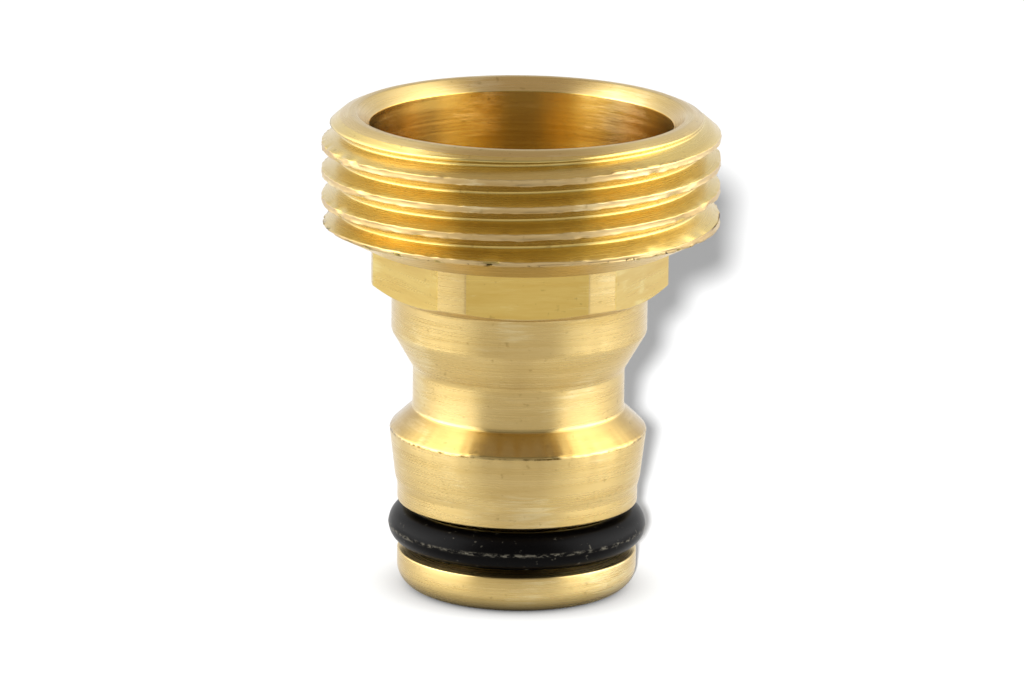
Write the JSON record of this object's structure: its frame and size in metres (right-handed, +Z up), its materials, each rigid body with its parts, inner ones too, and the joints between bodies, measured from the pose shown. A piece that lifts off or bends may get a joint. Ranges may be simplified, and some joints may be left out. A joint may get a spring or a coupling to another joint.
{
  "type": "threaded hose connector",
  "caption": "Turned brass hose connector: male pipe thread and spanner hexagon above a push-in hose nipple sealed by a rubber ring.",
  "frame": {"origin": "on the axis at the nipple's nose, the flat ring that the part stands on", "axes": "+Z up the axis from the nipple to the thread; -Y is the front of the picture; +X is to its right"},
  "size_m": [0.0264, 0.0264, 0.0324],
  "materials": {
    "brass": "fine turned brass, satin, with faint tool rings",
    "seal_rubber": "matte black moulded rubber"
  },
  "bodies": {
    "root": {"connector_body": "brass", "o_ring": "seal_rubber"}
  },
  "joints": []
}
